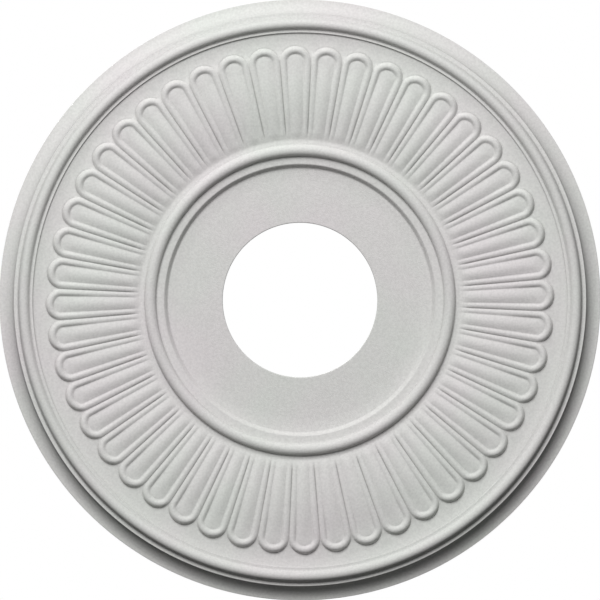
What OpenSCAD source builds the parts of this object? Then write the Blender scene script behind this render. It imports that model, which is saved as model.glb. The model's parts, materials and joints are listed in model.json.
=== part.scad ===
// Fluted ceiling rose, cast in one piece, with a ring of round-headed flutes.
// The origin is the centre of the flat back, which lies against the ceiling, and +Z points up
// into the ceiling. Every level below is a drop: a distance down from the ceiling.

/* [Overall] */
// Diameter over the rim
outer_d = 400; // [360:1:520]
// Diameter of the hole around the ceiling box
hole_d = 103; // [60:1:140]
// Thickness of the flat plate around the hole
plate_t = 6.6; // [5:0.1:8]
// Height of the upright edge of the rim
rim_t = 6.2; // [4:0.1:8]

/* [Outer moulding] */
// Width of the narrow land at the foot of the cove
rim_land = 0.3; // [0.2:0.1:1]
// Radius of the hollow cove above the rim
cove_r = 9; // [8:0.1:11]
// Rise of the cove over the rim's edge
cove_rise = 7.9; // [6.5:0.1:8]
// Width of the flat fillet between the cove and the outer bead
outer_fillet_w = 3.4; // [2:0.1:4.5]
// Radius of the outer bead
outer_bead_r = 3.6; // [3:0.1:4.5]
// Height of the outer bead over its outer fillet
outer_bead_h = 4.9; // [3:0.1:6]
// Width of the fillet inside the outer bead
inner_fillet_w = 2.6; // [1:0.1:4]
// Height of that fillet over the outer fillet
inner_fillet_h = 1.2; // [0.5:0.1:2]
// Height of the thin step inside that fillet
frieze_step_h = 1.1; // [0.5:0.1:1.8]

/* [Frieze] */
// Width of the hollow frieze outside the flute heads
frieze_w = 7.8; // [6:0.1:12]
// Radius of the frieze's shallow hollow
frieze_r = 30; // [20:1:60]
// Width of the flat ground between the heads and the hollow
head_gap = 0.4; // [0.2:0.1:2]

/* [Flutes] */
// Number of flutes round the rose
flutes = 48; // [24:2:60]
// Drop of the borders' level top
border_drop = 15.6; // [15.2:0.1:17]
// Share of its pitch that the head of a flute takes up
head_share = 0.95; // [0.85:0.01:0.98]
// Share of the pitch in the crease between two borders
crease_share = 0.03; // [0.02:0.005:0.06]
// Share of the pitch between a flute's two borders
sunk_share = 0.55; // [0.5:0.01:0.62]
// Share of the pitch that the floor of a flute takes up
floor_share = 0.44; // [0.36:0.01:0.48]
// Width of the border round the head of a flute
head_border_w = 5.6; // [4:0.1:7]
// Width of the groove inside the head's border
head_groove_w = 0.9; // [0.5:0.1:1.4]
// How much flatter than a half circle the floor's head is
head_flatness = 1.15; // [1.05:0.05:1.4]
// Drop of the floors at their crown
crown_drop = 15.5; // [14.5:0.1:16.5]
// Distance of the crown from the outer ends of the flutes
crown_back = 27; // [24:1:30]
// Fall of the floors from their crown to the foot of the flutes
floor_fall = 4.2; // [3.6:0.1:4.3]
// Depth of the grooves under the floors
groove_depth = 0.75; // [0.3:0.05:1.2]

/* [Inner moulding] */
// Radius at the crest of the inner ring
ring_crest_r = 99.6; // [98:0.1:104]
// Radius of the inner ring's bead
ring_r = 3.9; // [3:0.1:5]
// Drop of the inner ring's crest
ring_drop = 14.2; // [13.5:0.1:15]
// Radius of the hollow between the inner ring and the flutes
foot_r = 3.6; // [3:0.1:5]
// Drop of that hollow's lowest line
foot_drop = 10.4; // [9.5:0.1:11]
// Width of the slanting ledge inside the inner ring
ledge_w = 5.3; // [3:0.1:7]
// Drop of the ledge beside the ring
ledge_drop = 10.2; // [9.6:0.1:12]
// Slant of the ledge over its width
ledge_slant = 0.4; // [0:0.1:1]
// Width and height of the chamfer at the ledge's inner edge
ledge_chamfer = 0.9; // [0.5:0.1:1.5]

/* [Hidden] */
$fn = 180;
slack = 1;                                    // how far a cutting shape runs past what it cuts
root = 3;                                     // how deep an added shape is rooted in the body
top_trim = 0.1;                               // how much the crown of the borders' curve is planed off
wall_gap = 0.5;                               // how far under its widest line the bead meets an upright wall

rim_r = outer_d / 2;
hole_r = hole_d / 2;

// outer moulding, worked inwards from the rim
cove_centre_r = rim_r - rim_land;
cove_centre_drop = rim_t + cove_r;
outer_fillet_drop = rim_t + cove_rise;
cove_top_r = cove_centre_r - half_chord(cove_r, cove_centre_drop - outer_fillet_drop);
outer_bead_drop = outer_fillet_drop + outer_bead_h;
outer_bead_centre_drop = outer_bead_drop - outer_bead_r;
bead_outer_half = half_chord(outer_bead_r, wall_gap);
outer_bead_centre_r = cove_top_r - outer_fillet_w - bead_outer_half;
inner_fillet_drop = outer_fillet_drop + inner_fillet_h;
bead_inner_half = half_chord(outer_bead_r, outer_bead_centre_drop - inner_fillet_drop);
frieze_edge_r = outer_bead_centre_r - bead_inner_half - inner_fillet_w;
frieze_edge_drop = inner_fillet_drop - frieze_step_h;
frieze_low_r = frieze_edge_r - frieze_w;
frieze_low_drop = frieze_edge_drop - sagitta(frieze_r, frieze_w);

// flutes: their sides point at the centre, and a round head closes each of them
pitch = 360 / flutes;
head_half = pitch / 2 * head_share;
border_end_r = frieze_low_r - head_gap;
head_centre_r = border_end_r / (1 + sin(head_half));
head_r = head_centre_r * sin(head_half);
band_end_r = head_centre_r * cos(head_half);  // the band ends where the heads' arcs begin
sunk_end_r = border_end_r - head_border_w;
floor_end_r = sunk_end_r - head_groove_w;
crown_r = border_end_r - crown_back;
border_crown_drop = border_drop + top_trim;

// inner moulding
ring_centre_drop = ring_drop - ring_r;
foot_centre_r = ring_crest_r + ring_r + foot_r;
foot_top_drop = foot_drop + foot_r / 2;
floor_run = crown_r - foot_centre_r;
floor_curve_r = (floor_run * floor_run + floor_fall * floor_fall) / (2 * floor_fall);
ledge_outer_r = ring_crest_r - ring_r;
ledge_inner_r = ledge_outer_r - ledge_w;
ledge_inner_drop = ledge_drop - ledge_slant;
step_r = ledge_inner_r - ledge_chamfer;
step_hollow_r = ledge_inner_drop - ledge_chamfer - plate_t;

// Half the width of a circle's chord that lies at a given distance from its centre.
function half_chord(r, away) = sqrt(r * r - away * away);

// How far a circle falls from its top at a distance to the side.
function sagitta(r, aside) = r - half_chord(r, aside);

// Section of a layer that follows the flutes' curve, from the foot of the flutes outwards.
module curved_layer(to_r, crown, curve_r) {
    intersection() {
        translate([foot_centre_r, root]) square([to_r - foot_centre_r, border_drop - root]);
        translate([crown_r, crown - curve_r]) circle(curve_r);
    }
}

// Section of the body from the hole to the rim, before its hollows are cut.
module blank_section() {
    polygon([
        [hole_r, 0],
        [hole_r, plate_t],
        [step_r - step_hollow_r, plate_t],
        [step_r - step_hollow_r, plate_t + step_hollow_r],
        [step_r, plate_t + step_hollow_r],
        [ledge_inner_r, ledge_inner_drop],
        [ledge_outer_r, ledge_drop],
        [ring_crest_r, ledge_drop],
        [ring_crest_r, foot_top_drop],
        [foot_centre_r, foot_top_drop],
        [foot_centre_r, foot_drop - slack],
        [crown_r, foot_drop - slack],
        [crown_r, frieze_low_drop],
        [frieze_low_r, frieze_low_drop],
        [frieze_low_r, frieze_edge_drop],
        [frieze_edge_r, frieze_edge_drop],
        [frieze_edge_r, inner_fillet_drop],
        [outer_bead_centre_r, inner_fillet_drop],
        [outer_bead_centre_r, outer_bead_centre_drop - wall_gap],
        [outer_bead_centre_r + bead_outer_half, outer_bead_centre_drop - wall_gap],
        [outer_bead_centre_r + bead_outer_half, outer_fillet_drop],
        [cove_centre_r, outer_fillet_drop],
        [cove_centre_r, rim_t],
        [rim_r, rim_t],
        [rim_r, 0],
    ]);
}

// The turned body up to the bottom of the grooves, with the two beads laid on.
module turned_body() {
    rotate_extrude() difference() {
        blank_section();
        translate([step_r - step_hollow_r, plate_t + step_hollow_r]) circle(step_hollow_r);
        intersection() {
            translate([frieze_low_r, frieze_low_drop + frieze_r]) circle(frieze_r);
            translate([frieze_low_r, frieze_low_drop]) square([frieze_w, frieze_r]);
        }
        translate([cove_centre_r, cove_centre_drop]) circle(cove_r);
    }
    rotate_extrude() curved_layer(border_end_r, crown_drop - groove_depth, floor_curve_r - groove_depth);
    rotate_extrude() translate([ring_crest_r, ring_centre_drop]) circle(ring_r);
    rotate_extrude() translate([outer_bead_centre_r, outer_bead_centre_drop]) circle(outer_bead_r);
}

// A wedge that points at the centre, between two radii.
module wedge(half_angle, from_r, to_r) {
    polygon([
        [from_r, -from_r * tan(half_angle)],
        [to_r, -to_r * tan(half_angle)],
        [to_r, to_r * tan(half_angle)],
        [from_r, from_r * tan(half_angle)],
    ]);
}

// A wedge whose outer end is cut to an arc, a little flatter than a half circle.
module round_wedge(half_angle, end_r) {
    arc_r = head_flatness * end_r * sin(half_angle) / (1 + sin(half_angle));
    difference() {
        wedge(half_angle, foot_centre_r - slack, end_r + slack);
        difference() {
            translate([end_r - arc_r, -2 * arc_r]) square([arc_r + 2 * slack, 4 * arc_r]);
            translate([end_r - arc_r, 0]) circle(arc_r);
        }
    }
}

// Outline of all the borders together: a band with round heads, less the flutes and the creases.
module border_outline() {
    difference() {
        circle(border_end_r + slack);
        difference() {
            circle(border_end_r + 2 * slack);
            circle(band_end_r);
            for (i = [0:flutes - 1]) rotate(i * pitch) translate([head_centre_r, 0]) circle(head_r);
        }
        circle(foot_centre_r - slack);
        for (i = [0:flutes - 1]) rotate(i * pitch) round_wedge(pitch / 2 * sunk_share, sunk_end_r);
        for (i = [0:flutes - 1]) rotate((i + 0.5) * pitch)
            wedge(pitch / 2 * crease_share, foot_centre_r - 2 * slack, band_end_r + slack);
    }
}

// The raised borders, level outside and curving down to the foot of the flutes.
module borders() {
    intersection() {
        linear_extrude(outer_bead_drop) border_outline();
        rotate_extrude() union() {
            curved_layer(crown_r, border_crown_drop, floor_curve_r);
            translate([crown_r - slack, root]) square([frieze_low_r - crown_r + slack, border_drop - root]);
        }
    }
}

// The crowned floors of the flutes, standing on the ground between the grooves.
module floors() {
    intersection() {
        linear_extrude(outer_bead_drop) for (i = [0:flutes - 1]) rotate(i * pitch)
            round_wedge(pitch / 2 * floor_share, floor_end_r);
        rotate_extrude() curved_layer(floor_end_r + slack, crown_drop, floor_curve_r);
    }
}

// The whole casting, with its ornament hanging down from the ceiling.
module ceiling_rose() {
    color("whitesmoke") mirror([0, 0, 1]) difference() {
        union() {
            turned_body();
            borders();
            floors();
        }
        rotate_extrude() translate([foot_centre_r, foot_drop + foot_r]) circle(foot_r);
    }
}

ceiling_rose();
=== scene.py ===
import json
import math
import bpy
import bmesh
from mathutils import Matrix, Vector


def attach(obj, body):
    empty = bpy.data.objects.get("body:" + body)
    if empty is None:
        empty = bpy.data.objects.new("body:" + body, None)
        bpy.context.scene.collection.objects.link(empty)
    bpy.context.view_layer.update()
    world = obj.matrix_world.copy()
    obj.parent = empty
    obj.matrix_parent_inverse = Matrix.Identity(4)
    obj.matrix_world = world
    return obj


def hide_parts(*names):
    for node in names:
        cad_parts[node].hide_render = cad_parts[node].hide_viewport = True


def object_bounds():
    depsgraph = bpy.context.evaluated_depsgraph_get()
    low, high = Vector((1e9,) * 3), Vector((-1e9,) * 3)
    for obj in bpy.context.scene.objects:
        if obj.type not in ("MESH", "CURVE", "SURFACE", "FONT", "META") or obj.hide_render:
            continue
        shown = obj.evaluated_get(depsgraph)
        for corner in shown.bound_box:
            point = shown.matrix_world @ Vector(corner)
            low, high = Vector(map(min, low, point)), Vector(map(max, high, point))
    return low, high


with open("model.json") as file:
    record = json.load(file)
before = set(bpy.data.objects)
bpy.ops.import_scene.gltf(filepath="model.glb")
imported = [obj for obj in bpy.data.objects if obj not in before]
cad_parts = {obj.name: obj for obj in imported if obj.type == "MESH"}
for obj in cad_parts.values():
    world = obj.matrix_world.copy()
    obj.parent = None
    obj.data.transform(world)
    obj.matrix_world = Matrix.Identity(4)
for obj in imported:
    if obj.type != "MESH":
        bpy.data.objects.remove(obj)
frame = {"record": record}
cadLow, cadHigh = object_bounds()
mounts = {mount["name"]: mount for mount in frame["record"]["mounts"]}
bore = mounts["canopy_hole"]["dims"]
print("frame loaded")

# the rose in millimetres, with heights as drops below the ceiling
rose = {
    "flutes": 48,
    "rimRadius": round(cadHigh.x * 1000, 2),
    "rimDrop": 6.2,
    "rimHold": (0.5, 0.8),     # flat part of the rim's wall, from the back and from the front
    "holeHold": (0.6, 0.9),    # and of the hole's wall
    "faceHold": 1.0,           # and of the back and the plate, from their edges
    "holeRadius": bore["r_mm"],
    "plateDrop": bore["length_mm"],
    "plateEnd": 78.0,
    "holeArris": 0.4,          # rounding of the hole's front edge
    "arris": 0.3,              # rounding of the other edges
    "fineArris": 0.2,
    "stepRadius": 89.2,        # slope from the plate up to the ledge
    "stepWidth": 3.1,
    "ledgeDrop": 9.8,
    "ringRadius": 99.6,        # crest of the inner ring
    "ringBead": 3.9,
    "ringDrop": 14.2,
    "ringTurn": (171, 9),      # its round runs between these, in degrees
    "footRadius": 106.3,       # lowest line between ring and flutes
    "footDrop": 10.4,
    "footHollow": 3.6,
    "footReach": 3.5,          # how far up the flutes the hollow is blended in
    "bandStart": 106.0,
    "bandEnd": 172.0,
    "seam": 0.12,              # between the band of flutes and the turned mouldings
    "fade": (106.3, 114.0),    # the flutes fade in above the foot
    "crownRadius": 142.5,      # where the floors stand highest
    "crownDrop": 15.5,
    "floorCurve": 150.0,
    "headFall": 0.78,          # how far the floor falls from its crown to the head
    "headRun": 20.0,
    "grooveDepth": 0.95,
    "grooveLift": 0.75,        # how much shallower the groove gets towards the head
    "grooveEase": (153.0, 163.5),
    "creaseDepth": 0.7,
    "slot": 0.16,              # thin line at the bottom of the creases
    "slotEnd": (157.0, 163.0),
    "borderUnder": 0.5,        # the border's crest under the floor, near the foot
    "borderDrop": 15.35,
    "borderEase": (133.0, 148.0),
    "headRise": 0.65,          # how much higher the border stands round the head
    "headCentre": 159.64,
    "headReach": 9.4,
    "headHalf": 10.26,
    "archCentre": 158.85,      # head of the floor
    "archReach": 4.5,
    "archHalf": 5.5,
    "middleLine": (-3.4, 2.6), # where the head's columns start, from the arch's centre
    "groundDrop": 13.15,
    "groundEase": (156.0, 167.5),
    "friezeStart": 169.8,
    "friezeHollow": 30.0,
    "friezeEnd": 177.6,
    "friezeLip": 0.12,
    "friezeSlant": 0.04,       # slant of the thin step's wall
    "filletInset": 0.8,        # flat part of the inner fillet, from the step
    "innerFillet": 15.1,
    "beadRadius": 183.6,
    "beadDrop": 18.4,
    "bead": 3.5,
    "beadTurn": (160, 15),
    "beadFoot": 0.6,           # how far the bead's flanks spread at their foot
    "innerCorner": ((-0.3, 0), (0, 0.15), (0.25, 0.6)),
    "outerCorner": ((-0.2, 0.7), (0, 0.2), (0.35, 0)),
    "outerFillet": 14.2,
    "coveTop": 190.2,
    "coveEnd": 199.7,
    "coveBend": 1.7,           # 2 is a round cove, less is flatter
    "coveInset": 0.5,          # flat part of the outer fillet, from the cove
    "turnSteps": 384,
    "edgeSteps": 3,
    "friezeSteps": 5,
    "beadSteps": 14,
    "coveSteps": 16,
    "slopeSteps": 10,
    "ringSteps": 16,
    "sharpAngle": 48.0,        # edges with a steeper turn than this stay crisp
}
halfPitch = math.pi / rose["flutes"]


def ease(low, high, value):
    t = min(max((value - low) / (high - low), 0.0), 1.0)
    return t * t * (3 - 2 * t)


def mix(a, b, t):
    return a + (b - a) * t


def softMin(a, b, width):                       # the lower of two heights, blended where they meet
    h = min(max(0.5 + 0.5 * (b - a) / width, 0.0), 1.0)
    return mix(b, a, h) - width * h * (1 - h)


def floorDrop(r):                               # crown line of the flute floors
    d = r - rose["crownRadius"]
    if d < 0:
        return rose["crownDrop"] - rose["floorCurve"] + math.sqrt(rose["floorCurve"] ** 2 - d * d)
    run = min(d / rose["headRun"], 1.0)
    return rose["crownDrop"] - rose["headFall"] * (1 - math.cos(math.pi * run)) / 2


def fadeIn(r):
    return ease(*rose["fade"], r)


def grooveDrop(r):                              # bottom of the groove beside the floor
    depth = rose["grooveDepth"] - rose["grooveLift"] * ease(*rose["grooveEase"], r)
    return floorDrop(r) - depth * fadeIn(r)


def crestDrop(r, phi):                          # crest of the border
    low = floorDrop(r) - rose["borderUnder"] * fadeIn(r)
    side = mix(low, rose["borderDrop"], ease(*rose["borderEase"], r))
    return side + rose["headRise"] * math.sin(max(phi, 0)) ** 2


def groundDrop(r, phi):                         # valley between borders, then the ground and frieze
    valley = crestDrop(r, 0) - rose["creaseDepth"] * fadeIn(r)
    level = rose["groundDrop"] + max(0, r - rose["friezeStart"]) ** 2 / 2 / rose["friezeHollow"]
    return mix(valley, level, ease(*rose["groundEase"], r))


def footDrop(r):                                # hollow that the flutes rise out of
    d = min(abs(r - rose["footRadius"]), rose["footHollow"])
    return rose["footDrop"] + rose["footHollow"] - math.sqrt(rose["footHollow"] ** 2 - d * d)


# half of one flute, as a grid that follows its outline
band = {
    "straight": 14,            # columns along the flute
    "side": 8,                 # columns round the shoulder of the head
    "tip": 8,
    "floor": 6,                # rows from the middle line outwards
    "border": 10,
    "ground": 2,
    "footBias": 1.35,          # crowds the columns towards the foot
    "floorBias": 1.25,
    "flankBias": 0.4,          # crowds the rows at both feet of the border
    "sideCrest": 0.49,         # where across the border its crest lies
    "tipCrest": 0.44,
    "innerFlank": 0.7,         # less than 1 makes the flank over the groove steeper
    "outerFlank": 2.0,
    "tipFlank": 0.2,
    "tipTurn": 1.1,            # angle at which the border has the section of its tip
    "footBlend": 0.35,
}
bandColumns = band["straight"] + band["side"] + band["tip"]
bandRows = band["floor"] + band["border"] + band["ground"]
cornerAngle = math.atan2(
    rose["bandEnd"] * math.cos(halfPitch) - rose["headCentre"],
    rose["bandEnd"] * math.sin(halfPitch))


def boundary(phi):                              # edge of the half flute, seen from the head's centre
    c, s, h = math.cos(phi), math.sin(phi), rose["headCentre"]
    if phi <= cornerAngle:
        t = h * math.tan(halfPitch) / (c - s * math.tan(halfPitch))
    else:
        t = -h * s + math.sqrt(rose["bandEnd"] ** 2 - (h * c) ** 2)
    return Vector((h + t * s, t * c))


def headLines(phi):                             # middle, groove, border's foot and edge in one direction
    c, s = math.cos(phi), math.sin(phi)
    share = (phi + halfPitch) / (math.pi / 2 + halfPitch)
    middle = Vector((rose["archCentre"] + mix(*rose["middleLine"], share), 0))
    groove = Vector((rose["archCentre"] + rose["archReach"] * s, rose["archHalf"] * c))
    foot = Vector((rose["headCentre"] + rose["headReach"] * s, rose["headHalf"] * c))
    return middle, groove, foot, boundary(phi)


def bandLines(column):
    if column < band["straight"]:
        share = (column / band["straight"]) ** band["footBias"]
        out = []
        for end in headLines(-halfPitch):
            r = mix(rose["bandStart"], end.length, share)
            a = math.atan2(end.y, end.x)
            out.append(Vector((r * math.cos(a), r * math.sin(a))))
        return out, 0.0
    k = column - band["straight"]
    if k <= band["side"]:
        phi = mix(-halfPitch, cornerAngle, k / band["side"])
    else:
        phi = mix(cornerAngle, math.pi / 2, (k - band["side"]) / band["tip"])
    return headLines(phi), phi


def floorPoint(middle, groove, t):
    t = 1 - (1 - t) ** band["floorBias"]
    p = middle.lerp(groove, t)
    return p, mix(floorDrop(p.length), grooveDrop(groove.length), t * t * (3 - t) / 2)


def borderPoint(groove, foot, v, phi):
    v = mix(v, ease(0, 1, v), band["flankBias"])
    p = groove.lerp(foot, v)
    tip = ease(0, band["tipTurn"], phi)
    crest = mix(band["sideCrest"], band["tipCrest"], tip)
    top = crestDrop(p.length, phi)
    if v < crest:
        rise = ease(0, 1, (v / crest) ** band["innerFlank"])
        return p, mix(grooveDrop(groove.length), top, rise)
    q = (v - crest) / (1 - crest)
    rise = (1 - q ** (band["outerFlank"] + tip)) ** (1 + band["tipFlank"] * tip)
    return p, mix(groundDrop(foot.length, phi), top, rise)


def groundPoint(foot, edge, t, phi):
    p = foot.lerp(edge, t)
    slot = rose["slot"] * t * fadeIn(p.length) * (1 - ease(*rose["slotEnd"], p.length))
    return p, groundDrop(p.length, phi) - slot


def bandPoint(column, row):
    (middle, groove, foot, edge), phi = bandLines(column)
    if row <= band["floor"]:
        p, drop = floorPoint(middle, groove, row / band["floor"])
    elif row <= band["floor"] + band["border"]:
        p, drop = borderPoint(groove, foot, (row - band["floor"]) / band["border"], phi)
    else:
        p, drop = groundPoint(foot, edge, (row - band["floor"] - band["border"]) / band["ground"], phi)
    if p.length < rose["footRadius"] + rose["footReach"]:
        drop = softMin(drop, footDrop(p.length), band["footBlend"])
    return Vector((p.x, p.y, -drop))


body = bmesh.new()
bmesh.ops.create_grid(body, x_segments=bandColumns, y_segments=bandRows, size=0.5)
for v in body.verts:
    v.co = bandPoint(round((v.co.x + 0.5) * bandColumns), round((v.co.y + 0.5) * bandRows))
corner = min(body.verts, key=lambda v: (v.co - bandPoint(bandColumns, 0)).length)
bmesh.ops.dissolve_verts(body, verts=[corner])  # it lies in line with its neighbours on the mirror plane
everything = body.verts[:] + body.edges[:] + body.faces[:]
bmesh.ops.mirror(body, geom=everything, matrix=Matrix.Identity(4), merge_dist=0.001, axis="Y")
everything = body.verts[:] + body.edges[:] + body.faces[:]
bmesh.ops.spin(
    body, geom=everything, cent=(0, 0, 0), axis=(0, 0, 1), use_duplicate=True,
    angle=2 * math.pi * (1 - 1 / rose["flutes"]), steps=rose["flutes"] - 1)
bmesh.ops.remove_doubles(body, verts=body.verts[:], dist=0.002)
print("flutes", len(body.faces), "faces")


# everything turned: out from the flutes, round the back and in again, as points of radius and drop
def arc(r, drop, radius, start, end, steps):
    out = []
    for k in range(steps + 1):
        a = math.radians(mix(start, end, k / steps))
        out.append((r + radius * math.cos(a), drop + radius * math.sin(a)))
    return out


def quarter(a, b, steps, upright):              # leaves upright and ends level, or the other way
    out = []
    for k in range(steps + 1):
        turn = math.pi / 2 * k / steps
        across, along = 1 - math.cos(turn), math.sin(turn)
        if not upright:
            across, along = along, across
        out.append((mix(a[0], b[0], across), mix(a[1], b[1], along)))
    return out


def rounding(r, drop, radius, start, end):          # small rounding of an edge
    return arc(r, drop, radius, start, end, rose["edgeSteps"])


def friezeRun():                                # hollow frieze with a thin step at its outer edge
    start, end = rose["bandEnd"] + rose["seam"], rose["friezeEnd"]
    wall, arris = end + rose["friezeSlant"], rose["arris"]
    out = []
    for k in range(rose["friezeSteps"] + 1):
        r = mix(start, end - rose["fineArris"], k / rose["friezeSteps"])
        out.append((r, groundDrop(r, 0)))
    out += [(end, groundDrop(end, 0) + rose["friezeLip"]), (wall, rose["innerFillet"] - arris)]
    return out + rounding(wall + arris, rose["innerFillet"] - arris, arris, 150, 90)


def beadRun():                                  # inner fillet, bead and outer fillet
    inner, outer, arris = rose["innerFillet"], rose["outerFillet"], rose["fineArris"]
    centre = rose["beadDrop"] - rose["bead"]
    bead = arc(rose["beadRadius"], centre, rose["bead"], *rose["beadTurn"], rose["beadSteps"])
    innerFoot, outerFoot = bead[0][0] - rose["beadFoot"], bead[-1][0] + rose["beadFoot"]
    out = [(rose["friezeEnd"] + rose["filletInset"], inner)]
    out += [(innerFoot + along, inner + down) for along, down in rose["innerCorner"]]
    out += bead
    out += [(outerFoot + along, outer + down) for along, down in rose["outerCorner"]]
    out += [(rose["coveTop"] - rose["coveInset"], outer)]
    return out + rounding(rose["coveTop"] - arris, outer - arris, arris, 90, 20)


def coveRun():
    width, height = rose["coveEnd"] - rose["coveTop"], rose["outerFillet"] - rose["rimDrop"]
    power = 2 / rose["coveBend"]
    out = []
    for k in range(1, rose["coveSteps"]):
        a = math.pi / 2 * (1 - k / rose["coveSteps"])
        across, rise = width * math.sin(a) ** power, height * math.cos(a) ** power
        out.append((rose["coveEnd"] - across, rose["outerFillet"] - rise + 0.03))
    return out


def rimRun():                                   # upright edge of the rim
    rim, drop = rose["rimRadius"], rose["rimDrop"]
    arris, fine = rose["arris"], rose["fineArris"]
    backHold, frontHold = rose["rimHold"]
    out = rounding(rim - arris, drop - arris, arris, 80, 0)
    out += [(rim, drop - frontHold), (rim, backHold)]
    return out + rounding(rim - fine, fine, fine, 0, -90)


def holeRun():                                  # flat back and the hole's wall
    hole, plate = rose["holeRadius"], rose["plateDrop"]
    front, fine = rose["holeArris"], rose["fineArris"]
    backHold, frontHold = rose["holeHold"]
    out = [(rose["rimRadius"] - rose["faceHold"], 0), (hole + rose["faceHold"], 0)]
    out += rounding(hole + fine, fine, fine, 270, 180)
    out += [(hole, backHold), (hole, plate - frontHold)]
    return out + arc(hole + front, plate - front, front, 180, 90, rose["edgeSteps"] + 1)


def plateRun():                                 # flat plate, step and ledge
    plate, ledge = rose["plateDrop"], rose["ledgeDrop"]
    out = [(rose["holeRadius"] + rose["faceHold"], plate), (rose["plateEnd"], plate)]
    for k in range(rose["slopeSteps"] + 1):
        share = k / rose["slopeSteps"]
        r = rose["stepRadius"] + rose["stepWidth"] * (share - 0.5)
        out.append((r, mix(plate + 0.02, ledge, ease(0, 1, share))))
    return out + [(r + 0.5, ledge + 0.02)]


def ringRun():                                  # inner ring, down to the foot of the flutes
    centre = rose["ringDrop"] - rose["ringBead"]
    bead = arc(rose["ringRadius"], centre, rose["ringBead"], *rose["ringTurn"], rose["ringSteps"])
    ledgeEnd = (bead[0][0] - 1.5, rose["ledgeDrop"] + 0.35)
    foot = (rose["footRadius"] - 0.7, rose["footDrop"] + 0.07)          # just short of the lowest line
    last = rose["bandStart"] - rose["seam"]
    out = quarter(ledgeEnd, bead[0], 5, False)[:-1] + bead
    return out + quarter(bead[-1], foot, 7, True)[1:-1] + [(last, footDrop(last))]


runs = friezeRun() + beadRun() + coveRun() + rimRun() + holeRun() + plateRun() + ringRun()
profile = [body.verts.new((r, 0, -drop)) for r, drop in runs]
chain = [body.edges.new(pair) for pair in zip(profile, profile[1:])]
bmesh.ops.spin(
    body, geom=profile + chain, cent=(0, 0, 0), axis=(0, 0, 1),
    angle=2 * math.pi, steps=rose["turnSteps"], use_merge=True)


def openEdges(nearRadius):
    out = []
    for e in body.edges:
        r = (e.verts[0].co.xy.length + e.verts[1].co.xy.length) / 2
        if len(e.link_faces) == 1 and abs(r - nearRadius) < 1:
            out.append(e)
    return out


bmesh.ops.bridge_loops(body, edges=openEdges(rose["bandEnd"]))
bmesh.ops.bridge_loops(body, edges=openEdges(rose["bandStart"]))
bmesh.ops.recalc_face_normals(body, faces=body.faces[:])
bmesh.ops.scale(body, vec=(0.001, 0.001, 0.001), verts=body.verts[:])     # millimetres to metres
for f in body.faces:
    f.smooth = True
for e in body.edges:
    e.smooth = e.calc_face_angle(0) < math.radians(rose["sharpAngle"])
print("rose", len(body.faces), "faces, open edges", sum(len(e.link_faces) != 2 for e in body.edges))

roseMesh = bpy.data.meshes.new("ceilingRose")
body.to_mesh(roseMesh)
body.free()
roseObject = bpy.data.objects.new("ceilingRose", roseMesh)
bpy.context.scene.collection.objects.link(roseObject)

# primed casting: off-white with faint mottle, fine grain, and painted shade that darkens the hollows
paint = {
    "greenish": (0.706, 0.722, 0.69, 1),
    "pinkish": (0.733, 0.702, 0.705, 1),
    "mottleScale": 11,
    "mottleRange": (0.36, 0.64),
    "fleck": 0.11,             # how much darker the small flecks are
    "fleckScale": 650,
    "fleckRange": (0.35, 0.65),
    "roughness": (0.56, 0.68),
    "specular": 0.2,
    "paintedShade": 0.75,              # painted shade: how much darker the hollows and creases are made
    "paintedShadeReach": 0.0015,
    "paintedShadeRange": (0.35, 0.95),
    "grainScale": 1500,        # grains to the metre
    "grainDepth": 0.0002,
    "dragScale": 900,          # fine drag lines round the turned mouldings
    "dragDepth": 0.00003,
    "patchScale": 9,           # they come and go in patches
    "patchRange": (0.45, 0.7),
}


def addNode(tree, kind, place, **values):
    node = tree.nodes.new(kind)
    node.location = place
    for key, value in values.items():
        if hasattr(node, key):
            setattr(node, key, value)
        else:
            node.inputs[key].default_value = value
    return node


def addNoise(tree, place, vector, **values):
    node = addNode(tree, "ShaderNodeTexNoise", place, **values)
    tree.links.new(vector, node.inputs["Vector"])
    return node.outputs["Fac"]


def addRange(tree, place, source, span, start=0.0, end=1.0):
    node = addNode(tree, "ShaderNodeMapRange", place)
    node.inputs["From Min"].default_value = span[0]
    node.inputs["From Max"].default_value = span[1]
    node.inputs["To Min"].default_value = start
    node.inputs["To Max"].default_value = end
    tree.links.new(source, node.inputs["Value"])
    return node.outputs["Result"]


def addProduct(tree, place, a, b):
    node = addNode(tree, "ShaderNodeMath", place, operation="MULTIPLY")
    tree.links.new(a, node.inputs[0])
    tree.links.new(b, node.inputs[1])
    return node.outputs["Value"]


def addBump(tree, place, height, depth):
    node = addNode(tree, "ShaderNodeBump", place, Distance=depth)
    tree.links.new(height, node.inputs["Height"])
    return node


def addRadius(tree, vector):                    # distance from the rose's axis
    level = addNode(tree, "ShaderNodeVectorMath", (-1100, -480), operation="MULTIPLY")
    level.inputs[1].default_value = (1, 1, 0)
    radius = addNode(tree, "ShaderNodeVectorMath", (-900, -480), operation="LENGTH")
    tree.links.new(vector, level.inputs[0])
    tree.links.new(level.outputs["Vector"], radius.inputs[0])
    return radius.outputs["Value"]


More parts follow.
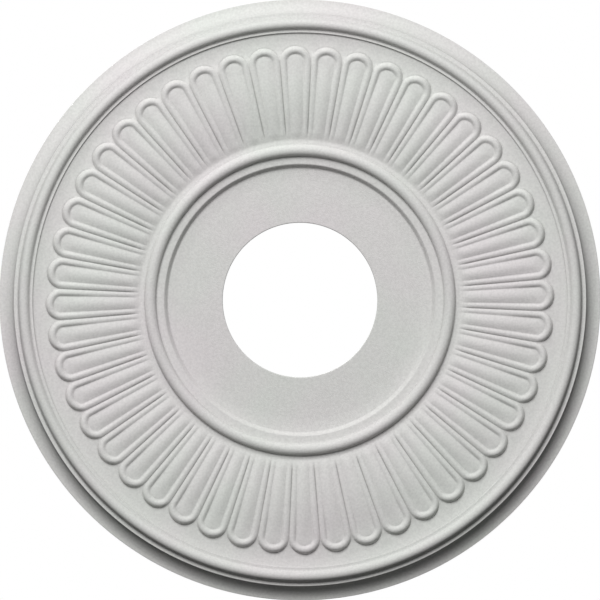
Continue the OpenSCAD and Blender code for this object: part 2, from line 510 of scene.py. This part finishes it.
def primedCasting():
    primer = bpy.data.materials.new("primedCasting")
    primer.use_nodes = True
    tree = primer.node_tree
    tree.nodes.clear()
    link = tree.links.new
    output = addNode(tree, "ShaderNodeOutputMaterial", (900, 0))
    shader = addNode(tree, "ShaderNodeBsdfPrincipled", (600, 0))
    shader.inputs["Specular IOR Level"].default_value = paint["specular"]
    place = addNode(tree, "ShaderNodeTexCoord", (-1300, 0)).outputs["Object"]
    cloud = addNoise(tree, (-900, 300), place, Scale=paint["mottleScale"], Detail=3)
    speck = addNoise(tree, (-900, 60), place, Scale=paint["fleckScale"], Detail=3, Roughness=0.6)
    grain = addNoise(tree, (-900, -180), place, Scale=paint["grainScale"], Detail=3, Roughness=0.65)
    patch = addNoise(tree, (-900, -700), place, Scale=paint["patchScale"], Detail=2)

    colour = addNode(tree, "ShaderNodeMix", (-200, 300), data_type="RGBA")
    colour.inputs[6].default_value = paint["greenish"]
    colour.inputs[7].default_value = paint["pinkish"]
    link(addRange(tree, (-450, 300), cloud, paint["mottleRange"]), colour.inputs[0])
    fleck = addRange(tree, (-450, 60), speck, paint["fleckRange"], start=1 - paint["fleck"])
    # painted shade: the occlusion node darkens the colour in hollows and creases
    hollow = addNode(
        tree, "ShaderNodeAmbientOcclusion", (-450, 480),
        samples=8, Distance=paint["paintedShadeReach"])
    paintedShade = addRange(tree, (-200, 480), hollow.outputs["AO"], paint["paintedShadeRange"], start=1 - paint["paintedShade"])
    shadedFleckedColour = addNode(tree, "ShaderNodeVectorMath", (200, 300), operation="SCALE")
    link(colour.outputs[2], shadedFleckedColour.inputs[0])
    link(addProduct(tree, (0, 480), paintedShade, fleck), shadedFleckedColour.inputs["Scale"])
    link(shadedFleckedColour.outputs["Vector"], shader.inputs["Base Color"])

    link(addRange(tree, (-200, 0), speck, (0, 1), *paint["roughness"]), shader.inputs["Roughness"])

    drag = addNode(
        tree, "ShaderNodeTexNoise", (-700, -480),
        noise_dimensions="1D", Scale=paint["dragScale"], Detail=3)
    link(addRadius(tree, place), drag.inputs["W"])
    patchy = addRange(tree, (-700, -700), patch, paint["patchRange"])
    dragged = addProduct(tree, (-450, -480), drag.outputs["Fac"], patchy)
    dragBump = addBump(tree, (0, -480), dragged, paint["dragDepth"])
    grainBump = addBump(tree, (250, -250), grain, paint["grainDepth"])
    link(dragBump.outputs["Normal"], grainBump.inputs["Normal"])
    link(grainBump.outputs["Normal"], shader.inputs["Normal"])
    link(shader.outputs["BSDF"], output.inputs["Surface"])
    return primer


roseMesh.materials.append(primedCasting())
print("material ready")

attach(roseObject, "root")
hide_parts("ceiling_rose")

# studio: the camera looks up at the ceiling from below, and lamps are aimed at the rose's middle
studio = {
    "cameraDrop": 4.5,
    "frameWidth": 0.3994,      # what the picture takes in across the rim
    "sensorWidth": 36.0,
    "roll": 1.09,
    "floorDrop": 4.9,
    "floorSize": 12.0,
    "floorShade": 0.85,
    "ambient": 0.045,
    "lamps": {                 # off is in degrees off straight down
        "key": {"distance": 2.8, "off": 43.0, "heading": -103.4, "size": 1.7, "power": 90.0},
        "back": {"distance": 2.2, "off": 150.0, "heading": 225.0, "size": 1.0, "power": 55.0},
    },
}


def addWorld():                                 # white for the camera, a faint fill for the rose
    world = bpy.data.worlds.new("studio")
    bpy.context.scene.world = world
    world.use_nodes = True
    sky = world.node_tree
    sky.nodes.clear()
    white = (1, 1, 1, 1)
    output = addNode(sky, "ShaderNodeOutputWorld", (600, 0))
    seen = addNode(sky, "ShaderNodeBackground", (200, 100), Strength=1.0, Color=white)
    fill = addNode(sky, "ShaderNodeBackground", (200, -100), Strength=studio["ambient"], Color=white)
    rays = addNode(sky, "ShaderNodeLightPath", (-400, 200))
    pick = addNode(sky, "ShaderNodeMixShader", (400, 0))
    sky.links.new(rays.outputs["Is Camera Ray"], pick.inputs["Fac"])
    sky.links.new(fill.outputs["Background"], pick.inputs[1])
    sky.links.new(seen.outputs["Background"], pick.inputs[2])
    sky.links.new(pick.outputs["Shader"], output.inputs["Surface"])


def addFloor():
    mesh = bpy.data.meshes.new("floor")
    sheet = bmesh.new()
    bmesh.ops.create_grid(sheet, x_segments=1, y_segments=1, size=studio["floorSize"] / 2)
    bmesh.ops.translate(sheet, vec=(0, 0, -studio["floorDrop"]), verts=sheet.verts[:])
    sheet.to_mesh(mesh)
    sheet.free()
    pale = bpy.data.materials.new("paleFloor")
    pale.use_nodes = True
    shader = pale.node_tree.nodes["Principled BSDF"]
    shader.inputs["Base Color"].default_value = (studio["floorShade"],) * 3 + (1,)
    shader.inputs["Roughness"].default_value = 0.9
    mesh.materials.append(pale)
    floor = bpy.data.objects.new("floor", mesh)
    bpy.context.scene.collection.objects.link(floor)
    return floor


def addLamp(name, lamp):
    off, heading = math.radians(lamp["off"]), math.radians(lamp["heading"])
    toLamp = Vector((math.sin(off) * math.cos(heading), math.sin(off) * math.sin(heading), -math.cos(off)))
    data = bpy.data.lights.new(name, "AREA")
    data.shape = "DISK"
    data.size = lamp["size"]
    data.energy = lamp["power"]
    light = bpy.data.objects.new(name, data)
    light.location = toLamp * lamp["distance"]
    light.rotation_euler = toLamp.to_track_quat("Z", "Y").to_euler()
    bpy.context.scene.collection.objects.link(light)


def addCamera():
    drop, roll = studio["cameraDrop"], math.radians(studio["roll"])
    data = bpy.data.cameras.new("camera")
    data.sensor_width = studio["sensorWidth"]
    data.lens = studio["sensorWidth"] * (drop - rose["rimDrop"] / 1000) / studio["frameWidth"]
    data.clip_end = 50
    camera = bpy.data.objects.new("camera", data)
    bpy.context.scene.collection.objects.link(camera)
    c, s = math.cos(roll), math.sin(roll)
    camera.matrix_world = Matrix(((c, s, 0, 0), (s, -c, 0, 0), (0, 0, -1, -drop), (0, 0, 0, 1)))
    return camera


addWorld()
floor = addFloor()
for name, lamp in studio["lamps"].items():
    addLamp(name, lamp)
bpy.context.scene.camera = addCamera()
bpy.context.scene.view_settings.view_transform = "Standard"
print("studio ready")
